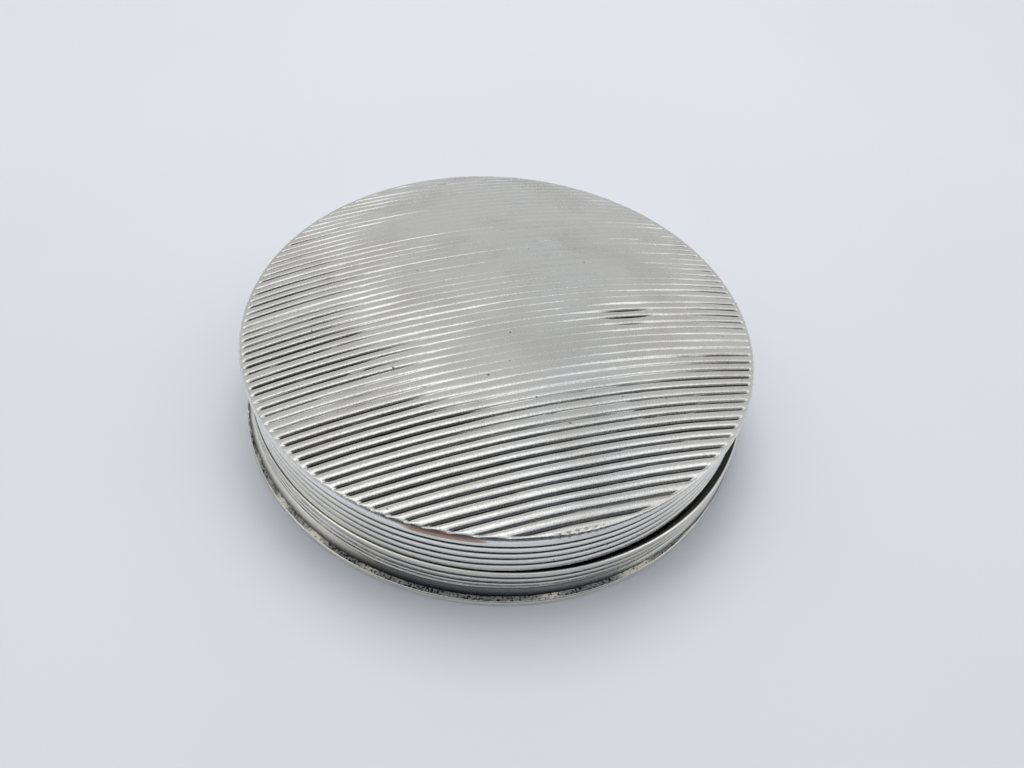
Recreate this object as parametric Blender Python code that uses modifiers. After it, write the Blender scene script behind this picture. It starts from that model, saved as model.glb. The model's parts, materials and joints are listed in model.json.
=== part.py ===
"""Round silver mint box with a low domed lid of reeded sheet, hinged to a shallow reeded base.

The origin is under the middle of the base, +Z is up and the hinge is at the back, at +Y.
The lid is drawn as it rests: a little open, because its worn wall no longer meets the base all round.
"""

import math

import bmesh
import bpy
from mathutils import Vector

MM = 0.001

# The lid's outline drives the radii of everything under it.
RIM_RADIUS = 27.0 * MM
LID_OVERHANG = 0.4 * MM
BASE_STEP = 0.2 * MM
PLATE_OVERHANG = 1.25 * MM

# Heights, from the table up.
PLATE_THICKNESS = 0.6 * MM
BASE_WALL_HEIGHT = 3.05 * MM
BASE_FOOT_HEIGHT = 0.35 * MM
JOINT_GAP = 0.05 * MM
LID_WALL_HEIGHT = 5.08 * MM
LID_BAND_HEIGHT = 1.2 * MM
LID_EDGE_THICKNESS = 0.55 * MM
DOME_RISE = 3.76 * MM

# Sheet and clearances.
LID_SHEET = 0.5 * MM
DOME_SHEET = 0.6 * MM
BEZEL_SHEET = 0.5 * MM
BEZEL_RISE = 2.0 * MM
BEZEL_CHAMFER = 0.15 * MM
BEZEL_CLEARANCE = 0.15 * MM
FIT_GAP = 0.05 * MM
PLATE_EDGE_ROUND = 0.15 * MM
FOOT_RECESS = 0.4 * MM

# Reeds, pressed into the sheet before the pieces were cut from it.
REED_PITCH = 0.96 * MM
REED_DEPTH = 0.22 * MM
WALL_REED_DEPTH = 0.2 * MM
REED_ANGLE = math.radians(-53.5)
BASE_REEDS = 3
LID_REEDS = 4
REED_STEPS = 4
REED_SPANS = 8

# Solder left standing round the foot.
SOLDER_WIDTH = 1.2 * MM
SOLDER_HEIGHT = 0.3 * MM

# Hinge.
HINGE_STANDOFF = 0.35 * MM
KNUCKLE_RADIUS = 0.8 * MM
KNUCKLE_LENGTH = 3.0 * MM
KNUCKLE_CHAMFER = 0.08 * MM
PIN_RADIUS = 0.3 * MM
PIN_FIT = 0.05 * MM
PIN_END = 0.12 * MM
RUNNING_GAP = 0.1 * MM
BEARER_HEIGHT = 1.25 * MM
BEARER_PROUD = 0.15 * MM
BEARER_END = 0.2 * MM
BEARER_ROUND = 0.1 * MM
LID_GAPE = math.radians(0.6)
KNUCKLES = (("hinge_knuckle_left", "base"), ("hinge_knuckle_middle", "lid"), ("hinge_knuckle_right", "base"))

# How finely round shapes are drawn.
ROUND_STEPS = 72
SMALL_STEPS = 24
DOME_RINGS = 6
MERGE_DISTANCE = 0.001 * MM
OVERRUN = 3.0 * MM
SHARP_ANGLE = math.radians(35)

# Radii that follow.
lid_wall_radius = RIM_RADIUS - LID_OVERHANG
lid_bore_radius = lid_wall_radius - LID_SHEET
bezel_radius = lid_bore_radius - BEZEL_CLEARANCE
base_wall_radius = lid_wall_radius + BASE_STEP
base_bore_radius = bezel_radius + FIT_GAP
foot_radius = base_wall_radius - FOOT_RECESS
plate_radius = base_wall_radius + PLATE_OVERHANG
solder_bore_radius = foot_radius + FIT_GAP

# Heights that follow.
wall_seat = PLATE_THICKNESS + FIT_GAP
base_top = wall_seat + BASE_WALL_HEIGHT
lid_bottom = base_top + JOINT_GAP
lid_wall_top = lid_bottom + LID_WALL_HEIGHT
lid_edge_bottom = lid_wall_top + FIT_GAP
rim_height = lid_edge_bottom + LID_EDGE_THICKNESS
dome_radius = (RIM_RADIUS ** 2 + DOME_RISE ** 2) / (2 * DOME_RISE)

# Places on the hinge that follow.
hinge_point = Vector((0, base_wall_radius + HINGE_STANDOFF, (base_top + lid_bottom) / 2))
barrel_length = len(KNUCKLES) * KNUCKLE_LENGTH + (len(KNUCKLES) - 1) * RUNNING_GAP
bearer_length = barrel_length + 2 * BEARER_END
bearer_inside = lid_bore_radius
bearer_outside = base_wall_radius + BEARER_PROUD


def clear_scene():
    """Remove every object, so that the model starts from an empty scene."""
    for item in list(bpy.data.objects):
        bpy.data.objects.remove(item, do_unlink=True)


def new_collection(name):
    """A collection linked to the scene."""
    collection = bpy.data.collections.new(name)
    bpy.context.scene.collection.children.link(collection)
    return collection


def metal(name, colour, roughness):
    """A metal with one colour and one roughness."""
    material = bpy.data.materials.new(name)
    material.use_nodes = True
    shader = material.node_tree.nodes["Principled BSDF"]
    shader.inputs["Base Color"].default_value = (*colour, 1.0)
    shader.inputs["Metallic"].default_value = 1.0
    shader.inputs["Roughness"].default_value = roughness
    return material


def add_object(name, mesh, collection, parent=None, place=(0, 0, 0), turn=(0, 0, 0)):
    """An object for a mesh, at a place given in the box's own frame with the lid shut."""
    item = bpy.data.objects.new(name, mesh)
    collection.objects.link(item)
    item.location = Vector(place)
    item.rotation_euler = turn
    if parent is not None:
        item.parent = parent
        item.location -= hinge_point
    return item


def profile_mesh(name, points, ring):
    """A mesh of edges through (radius, height) points, joined up into a loop for a ring."""
    mesh = bpy.data.meshes.new(name)
    count = len(points)
    last = count if ring else count - 1
    edges = [(index, (index + 1) % count) for index in range(last)]
    mesh.from_pydata([(radius, 0, height) for radius, height in points], edges, [])
    return mesh


def turn_profile(item, steps):
    """Turn an object's profile round its own Z axis."""
    screw = item.modifiers.new("turned", "SCREW")
    screw.angle = math.tau
    screw.steps = steps
    screw.render_steps = steps
    screw.use_merge_vertices = True
    screw.merge_threshold = MERGE_DISTANCE


def cut(item, cutter, operation="DIFFERENCE"):
    """Cut an object with another one."""
    boolean = item.modifiers.new("cut", "BOOLEAN")
    boolean.operation = operation
    boolean.object = cutter
    boolean.solver = "EXACT"


def finish(item, material):
    """Make an object's modifiers final, shade it smooth between its sharp edges and give it its material."""
    bpy.context.view_layer.update()
    graph = bpy.context.evaluated_depsgraph_get()
    mesh = bpy.data.meshes.new_from_object(item.evaluated_get(graph))
    mesh.name = item.name
    item.modifiers.clear()
    item.data = mesh
    mesh.shade_smooth()
    mesh.set_sharp_from_angle(angle=SHARP_ANGLE)
    mesh.materials.clear()
    mesh.materials.append(material)
    return item


def as_cutter(item):
    """Show an object as a wire, left out of any picture."""
    item.hide_render = True
    item.display_type = "WIRE"
    return item


def box_mesh(name, low, high):
    """A box between two corners."""
    mesh = bpy.data.meshes.new(name)
    size = Vector(high) - Vector(low)
    shape = bmesh.new()
    bmesh.ops.create_cube(shape, size=1)
    for vert in shape.verts:
        vert.co = Vector(low) + Vector([(part + 0.5) * side for part, side in zip(vert.co, size)])
    shape.to_mesh(mesh)
    shape.free()
    return mesh


def reed_share(turns):
    """Height of a reed's rounded back, from 0 in a groove to 1 on the crest, at a number of pitches."""
    return abs(math.sin(math.pi * turns))


def reeded_wall(radius, top, bottom, reeds, depth):
    """Outline points down a wall of reeds, from the crest side of its top edge to its lowest groove."""
    pitch = (top - bottom) / reeds
    samples = [step / REED_STEPS for step in range(reeds * REED_STEPS + 1)]
    return [(radius - depth * (1 - reed_share(turns)), top - pitch * turns) for turns in samples]


def dome_height(distance):
    """Height of the crests of the lid's top at a distance from its middle."""
    return rim_height + DOME_RISE - dome_radius + math.sqrt(dome_radius ** 2 - distance ** 2)


def underside_height(distance):
    """Height of the lid's hollow underside at a distance from its middle."""
    middle = rim_height + DOME_RISE - DOME_SHEET
    share = (distance / lid_bore_radius) ** 2
    return middle - share * (middle - lid_edge_bottom)


def base_plate(collection, material):
    """Flat disc that the box stands on; its edge stands out past the wall."""
    edge = PLATE_EDGE_ROUND
    outline = [
        (0, PLATE_THICKNESS),
        (plate_radius - edge, PLATE_THICKNESS),
        (plate_radius, PLATE_THICKNESS - edge),
        (plate_radius, edge),
        (plate_radius - edge, 0),
        (0, 0),
    ]
    item = add_object("base_plate", profile_mesh("base_plate", outline, False), collection)
    turn_profile(item, ROUND_STEPS)
    return finish(item, material)


def base_solder_seam(collection, material):
    """Low bank of solder in the corner between the wall's foot and the plate."""
    outside = solder_bore_radius + SOLDER_WIDTH
    shoulder = solder_bore_radius + SOLDER_WIDTH / 2
    outline = [
        (solder_bore_radius, wall_seat + SOLDER_HEIGHT),
        (shoulder, wall_seat + SOLDER_HEIGHT * 2 / 3),
        (outside, wall_seat + SOLDER_HEIGHT / 6),
        (outside, wall_seat),
        (solder_bore_radius, wall_seat),
    ]
    item = add_object("base_solder_seam", profile_mesh("base_solder_seam", outline, True), collection)
    turn_profile(item, ROUND_STEPS)
    return finish(item, material)


def base_wall(collection, material, notch):
    """Reeded band round the base, drawn in at its foot and notched for the hinge."""
    foot_top = wall_seat + BASE_FOOT_HEIGHT
    outline = reeded_wall(base_wall_radius, base_top, foot_top, BASE_REEDS, WALL_REED_DEPTH)
    outline += [
        (foot_radius, foot_top),
        (foot_radius, wall_seat),
        (base_bore_radius, wall_seat),
        (base_bore_radius, base_top),
    ]
    item = add_object("base_wall", profile_mesh("base_wall", outline, True), collection)
    turn_profile(item, ROUND_STEPS)
    cut(item, notch)
    return finish(item, material)


def base_bezel(collection, material):
    """Plain inner ring that the lid closes over."""
    top = base_top + BEZEL_RISE
    inside = bezel_radius - BEZEL_SHEET
    outline = [
        (inside, top),
        (bezel_radius - BEZEL_CHAMFER, top),
        (bezel_radius, top - BEZEL_CHAMFER),
        (bezel_radius, wall_seat),
        (inside, wall_seat),
    ]
    item = add_object("base_bezel", profile_mesh("base_bezel", outline, True), collection)
    turn_profile(item, ROUND_STEPS)
    return finish(item, material)


def reeded_block(name):
    """A block whose top has the lid's domed reeds, wider than the lid, with its reeds along X."""
    reeds = 2 * math.ceil(RIM_RADIUS / REED_PITCH + 1)
    half = reeds * REED_PITCH / 2
    mesh = bpy.data.meshes.new(name)
    shape = bmesh.new()
    bmesh.ops.create_grid(shape, x_segments=REED_SPANS, y_segments=reeds * REED_STEPS, size=half)
    for vert in shape.verts:
        groove = REED_DEPTH * (1 - reed_share(vert.co.y / REED_PITCH))
        vert.co.z = dome_height(vert.co.xy.length) - groove
    skirt = bmesh.ops.extrude_face_region(shape, geom=shape.faces[:])
    for vert in skirt["geom"]:
        if isinstance(vert, bmesh.types.BMVert):
            vert.co.z = 0
    bmesh.ops.recalc_face_normals(shape, faces=shape.faces[:])
    shape.to_mesh(mesh)
    shape.free()
    return mesh


def lid_top(collection, cutters, material, hinge):
    """Domed sheet of straight reeds cut to a round, smooth on its underside."""
    turn = (0, 0, REED_ANGLE)
    item = add_object("lid_top", reeded_block("lid_top"), collection, hinge, turn=turn)
    ceiling = rim_height + DOME_RISE + OVERRUN
    outline = [(0, ceiling), (RIM_RADIUS, ceiling), (RIM_RADIUS, lid_edge_bottom)]
    outline += [
        (share * lid_bore_radius / DOME_RINGS, underside_height(share * lid_bore_radius / DOME_RINGS))
        for share in range(DOME_RINGS, -1, -1)
    ]
    blank = add_object("lid_blank", profile_mesh("lid_blank", outline, False), cutters, hinge, turn=turn)
    turn_profile(blank, ROUND_STEPS)
    cut(item, as_cutter(blank), "INTERSECT")
    return finish(item, material)


def lid_wall(collection, material, hinge, notch):
    """Wall of the lid: a plain band under the top, then reeds down to the joint."""
    band_bottom = lid_wall_top - LID_BAND_HEIGHT
    outline = [(lid_wall_radius, lid_wall_top)]
    outline += [(lid_wall_radius, band_bottom + WALL_REED_DEPTH)]
    outline += reeded_wall(lid_wall_radius, band_bottom, lid_bottom, LID_REEDS, WALL_REED_DEPTH)
    outline += [(lid_bore_radius, lid_bottom), (lid_bore_radius, lid_wall_top)]
    item = add_object("lid_wall", profile_mesh("lid_wall", outline, True), collection, hinge)
    turn_profile(item, ROUND_STEPS)
    cut(item, notch)
    return finish(item, material)


def bearer_notch(name, cutters, low, high, parent=None):
    """Cutter for the place of a hinge bearer in a wall, right through the wall."""
    half = bearer_length / 2 + FIT_GAP
    corners = ((-half, bezel_radius - OVERRUN, low), (half, bearer_outside + OVERRUN, high))
    return as_cutter(add_object(name, box_mesh(name, *corners), cutters, parent))


def hinge_bearer(name, collection, material, low, high, channel, parent=None):
    """Bar let into a wall beside the joint, hollowed for the hinge's barrel."""
    half = bearer_length / 2
    corners = ((-half, bearer_inside, low), (half, bearer_outside, high))
    item = add_object(name, box_mesh(name, *corners), collection, parent)
    bevel = item.modifiers.new("rounded", "BEVEL")
    bevel.width = BEARER_ROUND
    bevel.segments = 2
    cut(item, channel)
    return finish(item, material)


def rod_outline(radius, length, chamfer):
    """Outline down the outside of a rod about the middle of its length."""
    end = length / 2
    return [(radius - chamfer, end), (radius, end - chamfer), (radius, chamfer - end), (radius - chamfer, -end)]


def hinge_channel(cutters):
    """Cutter for the hollow that the barrel lies in."""
    length = bearer_length + OVERRUN
    radius = KNUCKLE_RADIUS + RUNNING_GAP
    outline = [(0, length / 2), (radius, length / 2), (radius, -length / 2), (0, -length / 2)]
    mesh = profile_mesh("hinge_channel", outline, False)
    item = add_object("hinge_channel", mesh, cutters, None, hinge_point, (0, math.pi / 2, 0))
    turn_profile(item, SMALL_STEPS)
    return as_cutter(item)


def hinge_knuckle(name, collection, material, offset, parent=None):
    """One tube of the hinge's barrel."""
    outline = rod_outline(KNUCKLE_RADIUS, KNUCKLE_LENGTH, KNUCKLE_CHAMFER)
    bore = PIN_RADIUS + PIN_FIT
    outline += [(bore, -KNUCKLE_LENGTH / 2), (bore, KNUCKLE_LENGTH / 2)]
    place = hinge_point + Vector((offset, 0, 0))
    item = add_object(name, profile_mesh(name, outline, True), collection, parent, place, (0, math.pi / 2, 0))
    turn_profile(item, SMALL_STEPS)
    return finish(item, material)


def hinge_pin(collection, material):
    """Wire through the barrel, with its ends just proud of it."""
    length = barrel_length + 2 * PIN_END
    outline = rod_outline(PIN_RADIUS, length, KNUCKLE_CHAMFER)
    outline = [(0, length / 2)] + outline + [(0, -length / 2)]
    mesh = profile_mesh("hinge_pin", outline, False)
    item = add_object("hinge_pin", mesh, collection, None, hinge_point, (0, math.pi / 2, 0))
    turn_profile(item, SMALL_STEPS)
    return finish(item, material)


def lid_hinge(collection):
    """Empty on the hinge's axis that carries the lid at the small angle at which it rests."""
    empty = bpy.data.objects.new("lid_hinge", None)
    collection.objects.link(empty)
    empty.location = hinge_point
    empty.rotation_euler = (-LID_GAPE, 0, 0)
    return empty


def main():
    """Build the base, the lid and the hinge between them."""
    clear_scene()
    parts = new_collection("mint_box")
    cutters = new_collection("cutters")
    hinge = lid_hinge(parts)
    sheet = metal("reeded_silver", (0.80, 0.79, 0.77), 0.22)
    plain = metal("plain_silver", (0.74, 0.73, 0.71), 0.30)
    solder = metal("old_solder", (0.38, 0.35, 0.31), 0.60)
    wire = metal("hinge_silver", (0.68, 0.67, 0.65), 0.28)

    base_low = base_top - BEARER_HEIGHT
    lid_high = lid_bottom + BEARER_HEIGHT
    base_notch = bearer_notch("base_notch", cutters, base_low - FIT_GAP, base_top + OVERRUN)
    lid_notch = bearer_notch("lid_notch", cutters, lid_bottom - OVERRUN, lid_high + FIT_GAP, hinge)
    channel = hinge_channel(cutters)

    base_plate(parts, plain)
    base_solder_seam(parts, solder)
    base_wall(parts, sheet, base_notch)
    base_bezel(parts, plain)
    lid_top(parts, cutters, sheet, hinge)
    lid_wall(parts, sheet, hinge, lid_notch)
    hinge_bearer("hinge_bearer_base", parts, wire, base_low, base_top, channel)
    hinge_bearer("hinge_bearer_lid", parts, wire, lid_bottom, lid_high, channel, hinge)

    spacing = KNUCKLE_LENGTH + RUNNING_GAP
    for index, (name, side) in enumerate(KNUCKLES):
        offset = (index - (len(KNUCKLES) - 1) / 2) * spacing
        hinge_knuckle(name, parts, wire, offset, hinge if side == "lid" else None)
    hinge_pin(parts, wire)


main()
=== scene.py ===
"""Looks of a round reeded silver mint box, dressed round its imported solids.

Lengths are metres in the box's own frame: the origin is under the middle of the base, +Z is up
and the hinge is at +Y. Lid pieces are shaped with the lid shut and then turned to the small angle
at which it rests.
"""

from __future__ import annotations

import json
import logging
import math
from dataclasses import dataclass
from enum import Enum
from typing import Callable, Sequence, Union

import bmesh
import bpy
from mathutils import Matrix, Vector, noise

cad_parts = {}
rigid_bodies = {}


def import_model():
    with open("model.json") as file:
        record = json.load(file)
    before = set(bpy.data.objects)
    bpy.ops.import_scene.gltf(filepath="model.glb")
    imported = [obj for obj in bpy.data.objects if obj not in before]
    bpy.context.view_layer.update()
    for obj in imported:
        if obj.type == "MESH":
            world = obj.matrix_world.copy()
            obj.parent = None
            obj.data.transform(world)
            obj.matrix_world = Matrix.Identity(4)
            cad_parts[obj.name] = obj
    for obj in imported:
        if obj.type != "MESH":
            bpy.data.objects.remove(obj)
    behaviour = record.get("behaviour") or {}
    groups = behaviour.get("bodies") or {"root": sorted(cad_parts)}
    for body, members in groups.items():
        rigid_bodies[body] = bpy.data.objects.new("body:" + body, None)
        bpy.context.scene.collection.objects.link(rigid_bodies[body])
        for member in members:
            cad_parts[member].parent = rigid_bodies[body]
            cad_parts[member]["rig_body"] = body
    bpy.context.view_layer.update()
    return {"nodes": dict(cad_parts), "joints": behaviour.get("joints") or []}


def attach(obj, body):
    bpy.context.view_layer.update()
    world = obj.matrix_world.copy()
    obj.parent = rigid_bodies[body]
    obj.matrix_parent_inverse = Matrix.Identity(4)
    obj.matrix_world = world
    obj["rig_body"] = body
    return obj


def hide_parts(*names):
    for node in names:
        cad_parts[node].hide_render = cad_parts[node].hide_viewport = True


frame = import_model()

MM = 0.001
# Lengths below this count as none.
TINY = 0.001 * MM
# How far the lid stands open at rest.
LID_GAPE = math.radians(0.6)
# Edges that bend by more than this look sharp.
SHARP_ANGLE = math.radians(38)
# Nearly all values of a noise lie between these two.
NOISE_REACH = (0.3, 0.7)
# How much a random factor varies about 1 in all.
FACTOR_SPREAD = 0.5
# The name under which a mesh keeps how dark it is painted: tarnish in its grooves, and on the
# walls also painted shade on their inner faces and top edge and at their foot.
GROOVE_AND_SHADE = "groove"

log = logging.getLogger("mint_box")


class Body(Enum):
    """The two bodies of the box, which the hinge joins."""

    BASE = "base"
    LID = "lid"


class Slot(Enum):
    """The record's material slots."""

    REEDED = "reeded_silver"
    PLAIN = "plain_silver"
    SOLDER = "old_solder"
    HINGE = "hinge_silver"


Number = Union[int, float]
Pair = tuple[float, float]
Place = tuple[float, float, float]
Colour = tuple[float, float, float]
Outline = Sequence[Pair]


@dataclass(frozen=True)
class Quantity:
    """A value that a node tree works out at every point, with the usual signs of arithmetic."""

    bench: Bench
    socket: bpy.types.NodeSocket

    def __add__(self, other: Term) -> Quantity:
        """Sum of two quantities."""
        return self.bench.math("ADD", self, other)

    def __radd__(self, other: Number) -> Quantity:
        """Sum of a number and a quantity."""
        return self.bench.math("ADD", other, self)

    def __sub__(self, other: Term) -> Quantity:
        """Difference of two quantities."""
        return self.bench.math("SUBTRACT", self, other)

    def __rsub__(self, other: Number) -> Quantity:
        """Difference of a number and a quantity."""
        return self.bench.math("SUBTRACT", other, self)

    def __mul__(self, other: Term) -> Quantity:
        """Product of two quantities."""
        return self.bench.math("MULTIPLY", self, other)

    def __truediv__(self, other: Term) -> Quantity:
        """Quotient of two quantities."""
        return self.bench.math("DIVIDE", self, other)

    def __pow__(self, other: Term) -> Quantity:
        """Power of a quantity."""
        return self.bench.math("POWER", self, other)


Term = Union[Quantity, Number]
Shade = Union[bpy.types.NodeSocket, Colour]


class Bench:
    """Builds one node tree: adds its nodes and joins them."""

    def __init__(self, tree: bpy.types.NodeTree) -> None:
        """Start on a tree."""
        self.tree = tree

    def node(self, kind: str, **settings: object) -> bpy.types.Node:
        """Add a node.

        Args:
            kind: The node's type.
            settings: Its properties, by name.

        Returns:
            The node.
        """
        made = self.tree.nodes.new(kind)
        for name, value in settings.items():
            setattr(made, name, value)
        return made

    def feed(self, socket: bpy.types.NodeSocket, value: object) -> None:
        """Join a quantity or another socket to an input, or set the input's own value.

        Args:
            socket: The input.
            value: What it gets.
        """
        if isinstance(value, Quantity):
            self.tree.links.new(value.socket, socket)
        elif isinstance(value, bpy.types.NodeSocket):
            self.tree.links.new(value, socket)
        else:
            socket.default_value = value

    def math(self, operation: str, *terms: Term) -> Quantity:
        """Work out one operation.

        Args:
            operation: The Math node's name for it.
            terms: The quantities or numbers that it takes.

        Returns:
            The result.
        """
        made = self.node("ShaderNodeMath", operation=operation)
        for socket, term in zip(made.inputs, terms):
            self.feed(socket, term)
        return Quantity(self, made.outputs[0])

    def root(self, term: Term) -> Quantity:
        """Square root of a quantity that isn't negative."""
        return self.math("SQRT", self.math("MAXIMUM", term, 0.0))

    def droop(self, edge: Term, past: Quantity) -> Quantity:
        """Fall of a rounded edge, at a point that is past the start of its round."""
        past = self.math("MAXIMUM", past, 0.0)
        return edge - self.root(edge * edge - past * past)

    def ramp(
        self, value: Term, start: Term, end: Term, low: Term = 0.0, high: Term = 1.0,
    ) -> Quantity:
        """Carry a value smoothly from one level to another.

        Args:
            value: The value that is read.
            start: Where the ramp starts.
            end: Where it ends.
            low: The level at its start.
            high: The level at its end.

        Returns:
            The level.
        """
        made = self.node("ShaderNodeMapRange", interpolation_type="SMOOTHSTEP")
        names = ("Value", "From Min", "From Max", "To Min", "To Max")
        for name, term in zip(names, (value, start, end, low, high)):
            self.feed(made.inputs[name], term)
        return Quantity(self, made.outputs["Result"])

    def point(self, x: Term, y: Term, z: Term) -> bpy.types.NodeSocket:
        """Join three quantities into a vector.

        Args:
            x: Its first part.
            y: Its second part.
            z: Its third part.

        Returns:
            The vector.
        """
        made = self.node("ShaderNodeCombineXYZ")
        for socket, term in zip(made.inputs, (x, y, z)):
            self.feed(socket, term)
        return made.outputs[0]

    def parts(self, vector: bpy.types.NodeSocket) -> tuple[Quantity, Quantity, Quantity]:
        """Split a vector.

        Args:
            vector: The vector.

        Returns:
            Its three parts.
        """
        made = self.node("ShaderNodeSeparateXYZ")
        self.feed(made.inputs[0], vector)
        return tuple(Quantity(self, socket) for socket in made.outputs)

    def cloud(
        self, vector: bpy.types.NodeSocket, size: float, detail: float = 2.0, rough: float = 0.5,
    ) -> Quantity:
        """Smooth noise of about 0 to 1.

        Args:
            vector: Where to read it.
            size: The length over which it changes, in metres.
            detail: How many finer layers it has.
            rough: How strong each finer layer is.

        Returns:
            The noise's value.
        """
        made = self.node("ShaderNodeTexNoise")
        self.feed(made.inputs["Vector"], vector)
        made.inputs["Scale"].default_value = 1.0 / size
        made.inputs["Detail"].default_value = detail
        made.inputs["Roughness"].default_value = rough
        return Quantity(self, made.outputs[0])

    def chance(self, seed: Term) -> Quantity:
        """Draw a random value from 0 to 1.

        Args:
            seed: A whole number, which always draws the same value.

        Returns:
            The value.
        """
        made = self.node("ShaderNodeTexWhiteNoise", noise_dimensions="1D")
        self.feed(made.inputs["W"], seed)
        return Quantity(self, made.outputs["Value"])

    def blend(self, share: Quantity, first: Shade, second: Shade) -> bpy.types.NodeSocket:
        """Mix two colours.

        Args:
            share: How much of the second one shows, from 0 to 1.
            first: The colour at 0.
            second: The colour at 1.

        Returns:
            The mixed colour.
        """
        made = self.node("ShaderNodeMix", data_type="RGBA")
        sockets = [socket for socket in made.inputs if socket.enabled]
        for socket, value in zip(sockets, (share, first, second)):
            self.feed(socket, (*value, 1.0) if isinstance(value, tuple) else value)
        return next(socket for socket in made.outputs if socket.enabled)


class SheetTree(Bench):
    """A Geometry Nodes tree that bends a grid into a piece of reeded sheet."""

    def __init__(self, name: str) -> None:
        """Start a tree with a geometry output and no inputs yet.

        Args:
            name: The tree's name.
        """
        super().__init__(bpy.data.node_groups.new(name, "GeometryNodeTree"))
        sockets = self.tree.interface
        sockets.new_socket("Geometry", in_out="OUTPUT", socket_type="NodeSocketGeometry")
        self.start = self.node("NodeGroupInput")
        self.end = self.node("NodeGroupOutput")
        self.values: dict[str, Number] = {}

    def size(self, name: str, value: Number) -> Quantity:
        """Add a named input.

        Args:
            name: Its name.
            value: The value that the modifier gives it.

        Returns:
            The input.
        """
        kind = "NodeSocketInt" if isinstance(value, int) else "NodeSocketFloat"
        made = self.tree.interface.new_socket(name, in_out="INPUT", socket_type=kind)
        self.values[made.identifier] = value
        return Quantity(self, self.start.outputs[name])

    def grid(
        self, columns: Quantity, rows: Quantity,
    ) -> tuple[bpy.types.NodeSocket, Quantity, Quantity]:
        """Lay a square grid.

        Args:
            columns: How many points it has across.
            rows: How many points it has along.

        Returns:
            The grid, and a point's place across it and along it, each from -1 to 1.
        """
        made = self.node("GeometryNodeMeshGrid")
        names = ("Size X", "Size Y", "Vertices X", "Vertices Y")
        for name, term in zip(names, (2.0, 2.0, columns, rows)):
            self.feed(made.inputs[name], term)
        across, along, _ = self.parts(self.node("GeometryNodeInputPosition").outputs[0])
        return made.outputs["Mesh"], across, along

    def keep(
        self, mesh: bpy.types.NodeSocket, name: str, value: Quantity,
    ) -> bpy.types.NodeSocket:
        """Store a quantity on the mesh's points, for the material to read.

        Args:
            mesh: The mesh.
            name: The name under which it is stored.
            value: The quantity.

        Returns:
            The mesh that carries it.
        """
        made = self.node("GeometryNodeStoreNamedAttribute", data_type="FLOAT", domain="POINT")
        for socket, term in (("Geometry", mesh), ("Name", name), ("Value", value)):
            self.feed(made.inputs[socket], term)
        return made.outputs["Geometry"]

    def place(
        self, mesh: bpy.types.NodeSocket, where: bpy.types.NodeSocket,
    ) -> bpy.types.NodeSocket:
        """Move the mesh's points.

        Args:
            mesh: The mesh.
            where: The position of each point.

        Returns:
            The moved mesh.
        """
        made = self.node("GeometryNodeSetPosition")
        self.feed(made.inputs["Geometry"], mesh)
        self.feed(made.inputs["Position"], where)
        return made.outputs["Geometry"]

    def close(self, mesh: bpy.types.NodeSocket, material: bpy.types.Material) -> None:
        """Merge the grid's meeting edges, and end the tree.

        Args:
            mesh: The bent grid.
            material: Its finish.
        """
        merge = self.node("GeometryNodeMergeByDistance")
        self.feed(merge.inputs["Geometry"], mesh)
        merge.inputs["Distance"].default_value = TINY
        real = self.node("GeometryNodeRealizeInstances")
        self.feed(real.inputs["Geometry"], merge.outputs["Geometry"])
        coated = self.node("GeometryNodeSetMaterial")
        self.feed(coated.inputs["Geometry"], real.outputs["Geometry"])
        coated.inputs["Material"].default_value = material
        self.feed(self.end.inputs[0], coated.outputs["Geometry"])

    def bake(self, name: str) -> bpy.types.Mesh:
        """Run the tree on an empty object.

        Args:
            name: The mesh's name.

        Returns:
            What the tree makes, as a plain mesh.
        """
        carrier = bpy.data.objects.new(name, bpy.data.meshes.new(name))
        bpy.context.scene.collection.objects.link(carrier)
        modifier = carrier.modifiers.new("sheet", "NODES")
        modifier.node_group = self.tree
        for identifier, value in self.values.items():
            modifier[identifier] = value
        bpy.context.view_layer.update()
        seen = carrier.evaluated_get(bpy.context.evaluated_depsgraph_get())
        mesh = bpy.data.meshes.new_from_object(seen)
        bpy.data.objects.remove(carrier)
        return mesh


class Paint(Bench):
    """A material's tree, begun with the point on the object where a pattern is read."""

    def __init__(self, name: str) -> None:
        """Start a material.

        Args:
            name: The material's name.
        """
        self.material = bpy.data.materials.new(name)
        self.material.use_nodes = True
        super().__init__(self.material.node_tree)
        self.shader = self.tree.nodes["Principled BSDF"]
        self.spot = self.node("ShaderNodeTexCoord").outputs["Object"]

    def drawn_out(self, turn: float, share: float) -> bpy.types.NodeSocket:
        """Turn the point about Z and draw it out, for marks that run one way.

        Args:
            turn: The angle of the turn.
            share: How fast a mark changes along its run, where across it is 1.

        Returns:
            The point at which to read the marks.
        """
        made = self.node("ShaderNodeMapping")
        self.feed(made.inputs["Vector"], self.spot)
        made.inputs["Rotation"].default_value = (0.0, 0.0, turn)
        made.inputs["Scale"].default_value = (share, 1.0, 1.0)
        return made.outputs[0]

    def stored(self, name: str) -> Quantity:
        """A value that the mesh's own points carry."""
        made = self.node("ShaderNodeAttribute", attribute_name=name)
        return Quantity(self, made.outputs["Fac"])

    def coat(self, colour: Shade, rough: Term, metallic: float = 1.0) -> None:
        """Give the shader its looks.

        Args:
            colour: Its colour.
            rough: Its roughness.
            metallic: How far it is a metal, from 0 to 1.
        """
        self.feed(self.shader.inputs["Base Color"], colour)
        self.feed(self.shader.inputs["Roughness"], rough)
        self.shader.inputs["Metallic"].default_value = metallic

    def rise(self, height: Quantity, distance: float) -> None:
        """Let a height that is too fine for the mesh bend the light.

        Args:
            height: The height, from 0 to 1.
            distance: How far 1 stands above 0, in metres.
        """
        bump = self.node("ShaderNodeBump")
        bump.inputs["Distance"].default_value = distance
        self.feed(bump.inputs["Height"], height)
        self.feed(self.shader.inputs["Normal"], bump.outputs["Normal"])


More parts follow.
